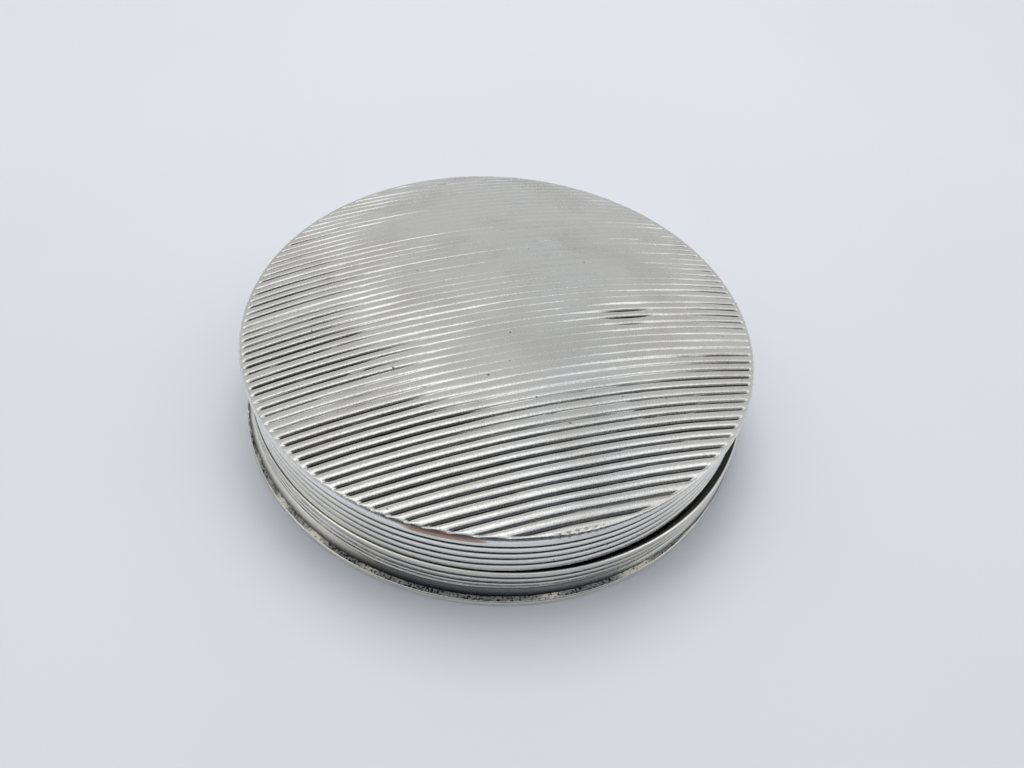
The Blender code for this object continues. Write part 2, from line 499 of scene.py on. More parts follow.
@dataclass(frozen=True)
class ReededSilver:
    """Old polished silver: bright on the reeds, dark with tarnish in the grooves, and dark with
    painted shade where a wall's mesh marks it.
    """

    name: str = "reeded_silver"
    turn: float = 0.0
    bright: Colour = (0.87, 0.865, 0.85)
    mellow: Colour = (0.79, 0.775, 0.75)
    dark: Colour = (0.085, 0.078, 0.072)
    cloud_size: float = 7.0 * MM
    cloud_edge: Pair = (0.42, 0.68)
    crumble: float = 0.24
    stain_and_shade_start: float = 0.55
    stain_and_shade_run: float = 0.36
    stain_and_shade_dull: float = 0.2
    fleck_size: float = 0.7 * MM
    fleck_edge: Pair = (0.785, 0.82)
    fleck_share: float = 0.8
    smooth: float = 0.17
    dull: float = 0.30
    dull_edge: Pair = (0.35, 0.65)
    grain: float = 0.16 * MM
    grain_height: float = 0.026 * MM
    drawn: float = 0.08
    drawn_share: float = 0.4
    copper: Colour = (0.43, 0.25, 0.19)
    copper_place: Place = (-26.45 * MM, -4.6 * MM, 9.48 * MM)
    copper_length: float = 4.2 * MM
    copper_width: float = 0.30 * MM
    copper_edge: Pair = (0.5, 1.6)
    copper_share: float = 0.85
    copper_dull: float = 0.3

    def tinge(self, paint: Paint) -> Quantity:
        """Find where the silver is rubbed through to the copper at the rim.

        Args:
            paint: The material's tree.

        Returns:
            The share of copper that shows.
        """
        x, y, z = paint.parts(paint.spot)
        place = Vector(self.copper_place)
        out = place.xy.normalized()
        across = (x - place.x) * out.x + (y - place.y) * out.y
        along = ((y - place.y) * out.x - (x - place.x) * out.y) / self.copper_length
        rise = z - place.z
        away = (across * across + rise * rise) / self.copper_width ** 2 + along * along
        return paint.ramp(away, *self.copper_edge, self.copper_share, 0.0)

    def make(self) -> bpy.types.Material:
        """Build the material.

        Returns:
            The material, which reads how dark the mesh is marked: tarnish in the grooves, and on
            the walls painted shade too.
        """
        paint = Paint(self.name)
        # This reads the mesh's darkness: tarnish in the grooves, and on the walls painted shade
        # too.
        groove = paint.stored(GROOVE_AND_SHADE)
        cloud = paint.cloud(paint.spot, self.cloud_size, detail=3.0)
        speck = paint.cloud(paint.spot, self.grain, rough=0.6)
        lines = paint.cloud(paint.drawn_out(self.turn, self.drawn), self.grain / 2)
        silver = paint.blend(paint.ramp(cloud, *self.cloud_edge), self.bright, self.mellow)
        tinge = self.tinge(paint)
        silver = paint.blend(tinge, silver, self.copper)
        # Tarnish and painted shade darken the silver here, in the dark colour.
        stain_and_shade = groove + (speck - 0.5) * self.crumble
        stain_and_shade = paint.ramp(stain_and_shade, self.stain_and_shade_start, self.stain_and_shade_start + self.stain_and_shade_run)
        fleck = paint.cloud(paint.spot, self.fleck_size, detail=1.0)
        fleck = paint.ramp(fleck, *self.fleck_edge, 0.0, self.fleck_share)
        stain_and_shade = paint.math("MAXIMUM", stain_and_shade, fleck)
        rough = paint.ramp(speck * 0.5 + cloud * 0.5, *self.dull_edge, self.smooth, self.dull)
        rough = rough + stain_and_shade * self.stain_and_shade_dull + tinge * self.copper_dull
        paint.coat(paint.blend(stain_and_shade, silver, self.dark), rough)
        grain = speck * (1 - self.drawn_share) + lines * self.drawn_share
        paint.rise(grain, self.grain_height)
        return paint.material


@dataclass(frozen=True)
class PlainSilver:
    """Plain silver sheet with fine scratches in two ways and a soft cloud of tarnish."""

    name: str = "plain_silver"
    bright: Colour = (0.92, 0.90, 0.84)
    mellow: Colour = (0.74, 0.71, 0.65)
    cloud_size: float = 5.0 * MM
    cloud_edge: Pair = (0.45, 0.75)
    smooth: float = 0.2
    dull: float = 0.38
    scratch: float = 0.15 * MM
    scratch_turns: Pair = (0.6, 2.0)
    scratch_draws: Pair = (0.04, 0.05)
    scratch_height: float = 0.006 * MM

    def make(self) -> bpy.types.Material:
        """Build the material.

        Returns:
            The material.
        """
        paint = Paint(self.name)
        cloud = paint.cloud(paint.spot, self.cloud_size, detail=4.0, rough=0.6)
        one_way, other_way = (
            paint.cloud(paint.drawn_out(turn, draw), self.scratch)
            for turn, draw in zip(self.scratch_turns, self.scratch_draws)
        )
        silver = paint.blend(paint.ramp(cloud, *self.cloud_edge), self.bright, self.mellow)
        paint.coat(silver, paint.ramp(cloud, *NOISE_REACH, self.smooth, self.dull))
        paint.rise(one_way * 0.5 + other_way * 0.5, self.scratch_height)
        return paint.material


@dataclass(frozen=True)
class OldSolder:
    """Rough solder: pale crumbs with black pits between them."""

    name: str = "old_solder"
    pale: Colour = (0.92, 0.89, 0.79)
    grey: Colour = (0.30, 0.30, 0.31)
    pit: Colour = (0.02, 0.018, 0.016)
    crumb: float = 0.24 * MM
    crumb_height: float = 0.09 * MM
    patch: float = 4.0 * MM
    patch_edge: Pair = (0.34, 0.54)
    patch_pull: float = 0.35
    pit_edge: Pair = (0.53, 0.58)
    smooth: float = 0.35
    dull: float = 0.7
    metallic: float = 0.7

    def make(self) -> bpy.types.Material:
        """Build the material.

        Returns:
            The material.
        """
        paint = Paint(self.name)
        crumbs = paint.cloud(paint.spot, self.crumb, detail=3.0, rough=0.65)
        patches = paint.cloud(paint.spot, self.patch)
        metal = paint.blend(paint.ramp(patches, *self.patch_edge), self.pale, self.grey)
        pits = paint.ramp(crumbs + (patches - 0.5) * self.patch_pull, *self.pit_edge)
        rough = paint.ramp(crumbs, *NOISE_REACH, self.smooth, self.dull)
        paint.coat(paint.blend(pits, metal, self.pit), rough, self.metallic)
        paint.rise(crumbs, self.crumb_height)
        return paint.material


@dataclass(frozen=True)
class HingeSilver:
    """Satin silver of the hinge's tubes and bars, darker where tarnish gathers."""

    name: str = "hinge_silver"
    bright: Colour = (0.74, 0.73, 0.71)
    dark: Colour = (0.22, 0.20, 0.18)
    cloud_size: float = 3.0 * MM
    cloud_edge: Pair = (0.5, 0.8)
    smooth: float = 0.25
    dull: float = 0.45
    grain: float = 0.25 * MM
    grain_height: float = 0.01 * MM

    def make(self) -> bpy.types.Material:
        """Build the material.

        Returns:
            The material.
        """
        paint = Paint(self.name)
        cloud = paint.cloud(paint.spot, self.cloud_size, detail=4.0, rough=0.6)
        speck = paint.cloud(paint.spot, self.grain)
        silver = paint.blend(paint.ramp(cloud, *self.cloud_edge), self.bright, self.dark)
        paint.coat(silver, paint.ramp(speck, *NOISE_REACH, self.smooth, self.dull))
        paint.rise(speck, self.grain_height)
        return paint.material


def lid_turn() -> Matrix:
    """Find the turn about the hinge's axis from a shut lid to the lid at rest.

    Returns:
        The turn.
    """
    joint = frame["joints"][0]
    pivot = Matrix.Translation(Vector(joint["pos_m"]))
    return pivot @ Matrix.Rotation(LID_GAPE, 4, Vector(joint["axis"])) @ pivot.inverted()


HINGE_POINT = Vector(frame["joints"][0]["pos_m"])
LID_TURN = lid_turn()


def solid_points(node: str) -> list[Vector]:
    """Find a solid's points, a lid's solid being turned back to where it is with the lid shut.

    Args:
        node: The solid's name.

    Returns:
        The points.
    """
    item = frame["nodes"][node]
    turn = LID_TURN.inverted() if item["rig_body"] == Body.LID.value else Matrix.Identity(4)
    return [turn @ vert.co for vert in item.data.vertices]


def solid_size(node: str) -> tuple[Vector, Vector]:
    """Find the corners of the box round a solid, with the lid shut.

    Args:
        node: The solid's name.

    Returns:
        The lowest and the highest corner.
    """
    points = solid_points(node)
    low = Vector([min(point[axis] for point in points) for axis in range(3)])
    high = Vector([max(point[axis] for point in points) for axis in range(3)])
    return low, high


def dress(name: str, mesh: bpy.types.Mesh, material: bpy.types.Material) -> bpy.types.Object:
    """Make an object of a finished mesh and link it.

    Args:
        name: The piece's name.
        mesh: Its mesh, in place.
        material: Its finish.

    Returns:
        The piece, smooth between its sharp edges.
    """
    mesh.name = name
    mesh.materials.clear()
    mesh.materials.append(material)
    mesh.shade_smooth()
    mesh.set_sharp_from_angle(angle=SHARP_ANGLE)
    piece = bpy.data.objects.new(name, mesh)
    bpy.context.scene.collection.objects.link(piece)
    return piece


def seat(piece: bpy.types.Object, body: Body, slot: Slot, *nodes: str) -> bpy.types.Object:
    """Put a piece on its body.

    Args:
        piece: The piece, shaped with the lid shut.
        body: Its body.
        slot: Its material slot; not used.
        nodes: The solids that it stands for.

    Returns:
        The piece.
    """
    if body is Body.LID:
        piece.data.transform(LID_TURN)
    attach(piece, body.value)
    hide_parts(*nodes)
    return piece


def write_outwards(shape: bmesh.types.BMesh, mesh: bpy.types.Mesh) -> None:
    """Turn a shape's faces outwards, write it to a mesh and free it.

    Args:
        shape: The closed shape.
        mesh: The mesh that gets it.
    """
    bmesh.ops.recalc_face_normals(shape, faces=shape.faces[:])
    shape.to_mesh(mesh)
    shape.free()


def turned(outline_at: Callable[[float], Outline], steps: int, ring: bool) -> bpy.types.Mesh:
    """Turn an outline of (radius, height) points round Z.

    Args:
        outline_at: Gives the outline at an angle, so that it can vary round the piece.
        steps: How many places round the piece have an outline.
        ring: Whether the outline is a loop; if not, it starts and ends on the axis.

    Returns:
        A closed mesh with its faces outwards.
    """
    shape = bmesh.new()
    rows = []
    for step in range(steps):
        angle = math.tau * step / steps
        cosine, sine = math.cos(angle), math.sin(angle)
        points = [(radius * cosine, radius * sine, height) for radius, height in outline_at(angle)]
        rows.append([shape.verts.new(point) for point in points])
    count = len(rows[0])
    for step, row in enumerate(rows):
        after = rows[(step + 1) % steps]
        for index in range(count if ring else count - 1):
            following = (index + 1) % count
            shape.faces.new((row[index], row[following], after[following], after[index]))
    bmesh.ops.remove_doubles(shape, verts=shape.verts[:], dist=TINY)
    mesh = bpy.data.meshes.new("turned")
    write_outwards(shape, mesh)
    return mesh


def rounded(corner: Pair, radius: float, start: float, steps: int = 4) -> list[Pair]:
    """Find the points of a quarter round, turning clockwise.

    Args:
        corner: The round's centre.
        radius: Its radius.
        start: The angle of its first point, in quarter turns from the outward direction.
        steps: How many chords it has.

    Returns:
        The points, the first and last being its ends.
    """
    turns = [(start - step / steps) * math.pi / 2 for step in range(steps + 1)]
    return [
        (corner[0] + radius * math.cos(turn), corner[1] + radius * math.sin(turn))
        for turn in turns
    ]


def cut_notch(mesh: bpy.types.Mesh, low: Vector, high: Vector) -> bpy.types.Mesh:
    """Turn a mesh's faces outwards and cut a box out of it.

    Args:
        mesh: A closed mesh.
        low: The box's lowest corner.
        high: Its highest corner.

    Returns:
        The cut mesh.

    Raises:
        ValueError: The mesh is open, or nothing is left of it.
    """
    shape = bmesh.new()
    shape.from_mesh(mesh)
    open_edges = sum(not edge.is_manifold for edge in shape.edges)
    write_outwards(shape, mesh)
    if open_edges:
        raise ValueError(f"{mesh.name} has {open_edges} open edges")
    tool_mesh = bpy.data.meshes.new("notch_tool")
    shape = bmesh.new()
    bmesh.ops.create_cube(shape, size=1)
    for vert in shape.verts:
        shares = [part + 0.5 for part in vert.co]
        vert.co = [low[axis] + shares[axis] * (high[axis] - low[axis]) for axis in range(3)]
    write_outwards(shape, tool_mesh)
    tool = bpy.data.objects.new("notch_tool", tool_mesh)
    body = bpy.data.objects.new("notched", mesh)
    for item in (tool, body):
        bpy.context.scene.collection.objects.link(item)
    boolean = body.modifiers.new("notch", "BOOLEAN")
    boolean.operation = "DIFFERENCE"
    boolean.solver = "MANIFOLD"
    boolean.object = tool
    bpy.context.view_layer.update()
    seen = body.evaluated_get(bpy.context.evaluated_depsgraph_get())
    result = bpy.data.meshes.new_from_object(seen)
    for item in (body, tool):
        bpy.data.objects.remove(item)
    if not result.polygons:
        raise ValueError(f"the notch left nothing of {mesh.name}")
    return result


def about_one(share: Quantity) -> Quantity:
    """Turn a value from 0 to 1 into a factor that lies evenly about 1."""
    return share * FACTOR_SPREAD + (1 - FACTOR_SPREAD / 2)


@dataclass(frozen=True)
class Reeds:
    """The reeds that were pressed into the sheet."""

    pitch: float = 0.96 * MM
    depth: float = 0.20 * MM
    groove_share: float = 0.70
    crown: float = 0.5
    wander: float = 0.20 * MM
    wander_size: float = 9.0 * MM
    wear_size: float = 4.0 * MM
    unevenness: float = 0.6

    def sway(self, bench: Bench, place: bpy.types.NodeSocket) -> Quantity:
        """How far a reed strays to the side at a place."""
        return (bench.cloud(place, self.wander_size) - 0.5) * self.wander

    def back(self, bench: Bench, turns: Quantity) -> Quantity:
        """Height of a reed's rounded back, 0 in the groove and 1 on the crest.

        Args:
            bench: The tree.
            turns: How many reeds along the sheet a point lies.

        Returns:
            The height, as a share of the reed's depth.
        """
        wave = bench.math("ABSOLUTE", bench.math("SINE", turns * math.pi))
        return bench.ramp(wave, 0.0, self.groove_share, 0.0, 1 - self.crown) + wave * self.crown

    def strength(self, bench: Bench, luck: Quantity, place: bpy.types.NodeSocket) -> Quantity:
        """How deep a groove is: each has its own depth, and wear changes it on its way.

        Args:
            bench: The tree.
            luck: The groove's own random value.
            place: Where to read the wear.

        Returns:
            The depth, as a share of the reeds' depth.
        """
        wear = bench.cloud(place, self.wear_size, detail=3.0)
        return (1 - self.unevenness / 2 + luck * self.unevenness) * about_one(wear)


@dataclass(frozen=True)
class Oval:
    """An oval place on the lid, measured along the reeds and across them."""

    place: Pair
    spread: Pair

    def away(self, run: Quantity, side: Quantity) -> Quantity:
        """Find how far a point lies from the place.

        Args:
            run: Where the point lies along the reeds.
            side: Where it lies across them.

        Returns:
            The square of the distance, which is 1 at the spread.
        """
        along = (run - self.place[0]) / self.spread[0]
        across = (side - self.place[1]) / self.spread[1]
        return along * along + across * across


@dataclass(frozen=True)
class Rub(Oval):
    """A place where use has worn the reeds down."""

    share: float
    start: float = 0.5
    end: float = 1.12

    def left(self, bench: Bench, run: Quantity, side: Quantity) -> Quantity:
        """Share of the reeds' depth that is left at a point."""
        away = bench.root(self.away(run, side))
        return bench.ramp(away, self.start, self.end, self.share, 1.0)


@dataclass
class LidTop:
    """The domed top: straight reeds across the whole round, its cut edge rounded over by wear."""

    name: str = "lid_reeded_top"
    reeds: Reeds = Reeds()
    reed_angle: float = math.radians(-53.5)
    dome_rise: float = 3.76 * MM
    edge_round: float = 0.14 * MM
    tip_length: float = 0.6 * MM
    tip_end: float = 0.2 * MM
    columns: int = 80
    rows: int = 1040
    ease: float = 0.82
    dent: Oval = Oval((12.1 * MM, -4.6 * MM), (2.6 * MM, 1.7 * MM))
    dent_depth: float = 0.12 * MM
    dent_pinch: float = 0.9
    back_rub: Rub = Rub((4.5 * MM, 6.9 * MM), (23.5 * MM, 26.5 * MM), 0.38)
    middle_rub: Rub = Rub((-2.0 * MM, -8.4 * MM), (10.0 * MM, 7.0 * MM), 0.40, start=0.3)
    front: float = math.radians(-120)
    front_power: float = 8.0
    front_round: float = 0.38 * MM
    nick_middle: float = -0.7 * MM
    nick_spread: float = 2.9 * MM
    nick_full: float = 0.7
    nick_pitch: float = 0.84 * MM
    nick_width: float = 0.55 * MM
    nick_depth: float = 0.08 * MM
    sheet: float = 0.6 * MM
    under_rings: int = 4
    landing_inset: float = 0.5 * MM
    seed: int = 7

    def __post_init__(self) -> None:
        """Read the sizes that the solids give."""
        low, high = solid_size("lid_top")
        self.radius = (high.x - low.x) / 2
        self.bottom = low.z
        self.rim = high.z - self.dome_rise
        self.landing = solid_size("lid_wall")[1].x - self.landing_inset

    def eased(self, tree: SheetTree, share: Quantity) -> Quantity:
        """Draw the grid's lines closer together toward the rim."""
        return share * (1 - self.ease) + tree.math("SINE", share * (math.pi / 2)) * self.ease

    def nicks(self, tree: SheetTree, run: Quantity, side: Quantity, radius: Quantity) -> Quantity:
        """Cut the row of small scallops in the rim.

        Args:
            tree: The dome's tree.
            run: Where a point lies along the reeds.
            side: Where it lies across them.
            radius: The rim's radius.

        Returns:
            How far they lower the point.
        """
        place = run - self.nick_middle
        away = tree.math("ABSOLUTE", place)
        full = self.nick_spread * self.nick_full
        near = tree.ramp(away, full, self.nick_spread, 1.0, 0.0)
        rim = tree.ramp(side, self.nick_width - radius, self.nick_width / 2 - radius)
        sine = tree.math("SINE", place / self.nick_pitch * math.pi)
        return (1 - tree.math("ABSOLUTE", sine)) * near * rim * self.nick_depth

    def tree(self, material: bpy.types.Material) -> SheetTree:
        """Bend a grid into the reeded dome, with its rows along the reeds.

        Args:
            material: The dome's finish.

        Returns:
            The tree.
        """
        tree = SheetTree("reeded_dome")
        radius = tree.size("Rim Radius", self.radius)
        rise = tree.size("Dome Rise", self.dome_rise)
        rim = tree.size("Rim Height", self.rim)
        pitch = tree.size("Reed Pitch", self.reeds.pitch)
        depth = tree.size("Reed Depth", self.reeds.depth)
        edge = tree.size("Edge Round", self.edge_round)
        seed = tree.size("Seed", self.seed)
        columns = tree.size("Columns", self.columns)
        rows = tree.size("Rows", self.rows)
        mesh, across, along = tree.grid(columns, rows)

        side = radius * self.eased(tree, along)
        half = tree.root(radius * radius - side * side)
        run = half * self.eased(tree, across)
        flat = tree.point(run, side, seed)
        distance = tree.root(run * run + side * side)

        turns = (side + self.reeds.sway(tree, flat)) / pitch
        luck = tree.chance(tree.math("FLOOR", turns) + seed)
        reach = about_one(luck) * self.tip_length
        tips = tree.ramp(distance, radius - reach, radius - self.tip_end, 1.0, 0.0)
        dent = tree.math("EXPONENT", self.dent.away(run, side) * -1.0)
        worn = self.back_rub.left(tree, run, side) * self.middle_rub.left(tree, run, side)
        strength = self.reeds.strength(tree, luck, flat) * tips * worn + dent * self.dent_pinch
        groove = (1 - self.reeds.back(tree, turns)) * strength

        ball = (radius * radius + rise * rise) / (rise * 2.0)
        dome = rim + rise - ball + tree.root(ball * ball - distance * distance)
        forward = (run * math.cos(self.front) + side * math.sin(self.front)) / radius
        forward = tree.math("MAXIMUM", forward, 0.0) ** self.front_power
        edge = edge + forward * self.front_round
        height = dome - groove * depth - tree.droop(edge, distance - radius + edge)
        height = height - dent * self.dent_depth - self.nicks(tree, run, side, radius)
        mesh = tree.keep(mesh, GROOVE_AND_SHADE, groove)
        mesh = tree.place(mesh, tree.point(run, side, height))
        tree.close(mesh, material)
        return tree

    def close_under(self, mesh: bpy.types.Mesh) -> None:
        """Carry the rim down its edge and in under the dome, so that the sheet is closed.

        Args:
            mesh: The open dome.
        """
        shape = bmesh.new()
        shape.from_mesh(mesh)
        loop = self.rim_loop(shape)
        middle = self.rim + self.dome_rise - self.sheet
        chamfer = self.edge_round / 3
        rings = [(self.radius, self.bottom + chamfer), (self.radius - chamfer, self.bottom)]
        for ring in range(self.under_rings):
            share = 1 - ring / self.under_rings
            rings.append((self.landing * share, middle - share ** 2 * (middle - self.bottom)))
        for radius, height in rings:
            after = []
            for vert in loop:
                out = vert.co.xy.normalized() * radius
                after.append(shape.verts.new((out.x, out.y, height)))
            for index, vert in enumerate(loop):
                following = (index + 1) % len(loop)
                shape.faces.new((vert, loop[following], after[following], after[index]))
            loop = after
        centre = shape.verts.new((0, 0, middle))
        for index, vert in enumerate(loop):
            shape.faces.new((vert, loop[(index + 1) % len(loop)], centre))
        write_outwards(shape, mesh)

    @staticmethod
    def rim_loop(shape: bmesh.types.BMesh) -> list[bmesh.types.BMVert]:
        """Walk round the open rim.

        Args:
            shape: The open dome.

        Returns:
            The rim's points in their order.
        """
        edge = next(edge for edge in shape.edges if edge.is_boundary)
        loop = [edge.verts[0], edge.verts[1]]
        while True:
            links = loop[-1].link_edges
            edge = next(other for other in links if other.is_boundary and other != edge)
            vert = edge.other_vert(loop[-1])
            if vert == loop[0]:
                return loop
            loop.append(vert)

    def build(self, material: bpy.types.Material) -> bpy.types.Object:
        """Make the piece and seat it on the lid.

        Args:
            material: Its finish.

        Returns:
            The piece.
        """
        mesh = self.tree(material).bake(self.name)
        self.close_under(mesh)
        mesh.transform(Matrix.Rotation(self.reed_angle, 4, "Z"))
        return seat(dress(self.name, mesh, material), Body.LID, Slot.REEDED, "lid_top")


@dataclass(frozen=True)
class Facing:
    """A share that is 1 on one side of a ring and dies away within a quarter turn of it."""

    middle: float = 0.0
    power: float = 1.5

    def share(self, bench: Bench, cosine: Quantity, sine: Quantity) -> Quantity:
        """The share at a point, from its direction's cosine and sine."""
        facing = cosine * math.cos(self.middle) + sine * math.sin(self.middle)
        return bench.math("MAXIMUM", facing, 0.0) ** self.power


@dataclass
class ReededWall:
    """A ring of reeded sheet, which is notched for a bar of the hinge."""

    node: str
    name: str
    body: Body
    bearer: str
    count: int
    reeds: Reeds = Reeds(
        groove_share=0.55, crown=0.3, wander=0.14 * MM, wander_size=6.0 * MM, wear_size=8.0 * MM,
    )
    band: float = 0.0
    foot: float = 0.0
    foot_recess: float = 0.0
    foot_edge: Pair = (-0.05, 0.1)
    # Painted shade in the recessed foot, and the extra painted shade that deepens towards its
    # bottom.
    foot_shade: float = 0.25
    low_shade: float = 0.5
    flare: float = 0.0
    flare_power: float = 1.3
    fade: float = 0.0
    fade_way: Facing = Facing()
    ledge: float = 0.0
    ledge_way: Facing = Facing()
    lift: float = 0.0
    lift_away: Facing = Facing()
    dip: float = 0.0
    dip_way: Facing = Facing()
    start: float = -0.5
    end_share: float = 0.5
    run_in: float = 0.5
    luck_step: float = 3.7
    wear_step: float = 2.0 * MM
    columns: int = 321
    rows: int = 121
    outer_share: float = 0.8
    inner_share: float = 0.975
    share_slack: float = 0.001
    # How much of the painted shade is taken off the row where the ring closes.
    joint_shine: float = 0.8
    edge_round: float = 0.08 * MM
    bezel_gap: float = 0.05 * MM
    notch_gap: float = 0.05 * MM
    notch_reach: float = 1.0 * MM
    seed: int = 3

    def __post_init__(self) -> None:
        """Read how wide the ring is inside, so that it clears the bezel."""
        self.bore = solid_size("base_bezel")[1].x + self.bezel_gap

    def tree(self, material: bpy.types.Material) -> SheetTree:
        """Bend a grid into the wall: down its reeded outside, and up its smooth inside, marking
        painted shade on the inside and at the foot.

        Args:
            material: The wall's finish.

        Returns:
            The tree.
        """
        low, high = solid_size(self.node)
        tree = SheetTree(self.name)
        radius = tree.size("Radius", high.x)
        bore = tree.size("Bore", self.bore)
        top = tree.size("Top", high.z)
        bottom = tree.size("Bottom", low.z)
        band = tree.size("Band", self.band)
        foot = tree.size("Foot", self.foot)
        recess = tree.size("Foot Recess", self.foot_recess)
        count = tree.size("Reeds", self.count)
        depth = tree.size("Reed Depth", self.reeds.depth)
        seed = tree.size("Seed", self.seed)
        columns = tree.size("Columns", self.columns)
        rows = tree.size("Rows", self.rows)
        mesh, across, along = tree.grid(columns, rows)

        angle = (across + 1) * math.pi
        way = tree.math("COSINE", angle), tree.math("SINE", angle)
        x, y = (part * radius for part in way)
        share = (along + 1) / 2
        down = share / self.outer_share
        outside = tree.math("LESS_THAN", share, self.outer_share + self.share_slack)
        back_up = (share - self.outer_share) / (self.inner_share - self.outer_share)
        back_up = tree.math("MINIMUM", back_up, 1.0)
        over = tree.ramp(share, self.inner_share, 1.0)

        lifted = (HINGE_POINT.y - y) * (self.lift * math.tan(LID_GAPE))
        edge_top = top + lifted * (1 - self.lift_away.share(tree, *way))
        edge_top = edge_top - self.dip_way.share(tree, *way) * self.dip
        height_out = edge_top - down * (edge_top - bottom)
        height_in = bottom + back_up * (edge_top - bottom)
        edge_distance = tree.math("MINIMUM", edge_top - height_out, height_out - bottom)

        sway = self.reeds.sway(tree, tree.point(x, y, seed))
        sway = sway * tree.ramp(edge_distance, 0.0, 2 * self.edge_round)
        pitch = (edge_top - band - foot - bottom) / count
        turns = (edge_top - band - height_out + sway) / pitch
        number = tree.math("FLOOR", turns)
        luck = tree.chance(number * self.luck_step + seed)
        last = count - self.end_share
        inside_run = tree.ramp(turns, self.start, self.start + self.run_in)
        inside_run = inside_run * tree.ramp(turns, last, last + self.run_in, 1.0, 0.0)
        strength = self.reeds.strength(tree, luck, tree.point(x, y, number * self.wear_step))
        strength = strength * (1 - self.fade_way.share(tree, *way) * self.fade)
        groove = (1 - self.reeds.back(tree, turns)) * strength * inside_run

        in_foot = tree.ramp(turns, count + self.foot_edge[0], count + self.foot_edge[1])
        low_share = tree.math("MAXIMUM", 1 - (height_out - bottom) / (foot + TINY), 0.0)
        droop = tree.droop(self.edge_round, self.edge_round - edge_distance)
        bulge = self.ledge_way.share(tree, *way) * self.ledge
        spread = bulge + low_share ** self.flare_power * (self.flare - bulge)
        radial_out = radius + spread - groove * depth - in_foot * recess - droop
        radial_in = bore + over * (radius + bulge - self.edge_round - bore)
        radial = outside * radial_out + (1 - outside) * radial_in
        height = outside * height_out + (1 - outside) * height_in
        meeting = tree.math("GREATER_THAN", share, 1 - self.share_slack)
        # Painted shade: in the recessed foot, darkest towards the bottom, and over the whole
        # inside and top edge of the ring. The grooves keep their tarnish.
        dark = in_foot * (low_share * self.low_shade + self.foot_shade)
        dark = tree.math("MAXIMUM", groove, dark)
        dark = tree.math("MAXIMUM", dark, 1 - outside) * (1 - meeting * self.joint_shine)
        mesh = tree.keep(mesh, GROOVE_AND_SHADE, dark)
        mesh = tree.place(mesh, tree.point(way[0] * radial, way[1] * radial, height))
        tree.close(mesh, material)
        return tree

    def build(self, material: bpy.types.Material) -> bpy.types.Object:
        """Make the wall, notch it for the hinge's bar and seat it on its body.

        Args:
            material: Its finish.

        Returns:
            The wall.
        """
        mesh = self.tree(material).bake(self.name)
        low, high = solid_size(self.bearer)
        gap = Vector((self.notch_gap, 0, self.notch_gap))
        low, high = low - gap, high + gap
        low.y = self.bore - self.notch_reach
        high.y += self.notch_reach
        piece = dress(self.name, cut_notch(mesh, low, high), material)
        return seat(piece, self.body, Slot.REEDED, self.node)


@dataclass
class LidWall(ReededWall):
    """The lid's ring, with a plain band above its reeds."""

    node: str = "lid_wall"
    name: str = "lid_reeded_wall"
    body: Body = Body.LID
    bearer: str = "hinge_bearer_lid"
    count: int = 4
    band: float = 1.2 * MM


@dataclass
class BaseWall(ReededWall):
    """The base's ring, spread at its foot and out of true along its upper edge."""

    node: str = "base_wall"
    name: str = "base_reeded_wall"
    body: Body = Body.BASE
    bearer: str = "hinge_bearer_base"
    count: int = 3
    foot: float = 0.75 * MM
    foot_recess: float = 0.1 * MM
    flare: float = 0.72 * MM
    fade: float = 0.6
    fade_way: Facing = Facing(math.radians(130), 2.0)
    ledge: float = 0.6 * MM
    ledge_way: Facing = Facing(math.radians(285), 1.5)
    lift: float = 0.95
    lift_away: Facing = Facing(math.radians(262), 1.5)
    dip: float = 0.25 * MM
    dip_way: Facing = Facing(math.radians(267), 3.0)
    start: float = 0.0
    end_share: float = 0.0


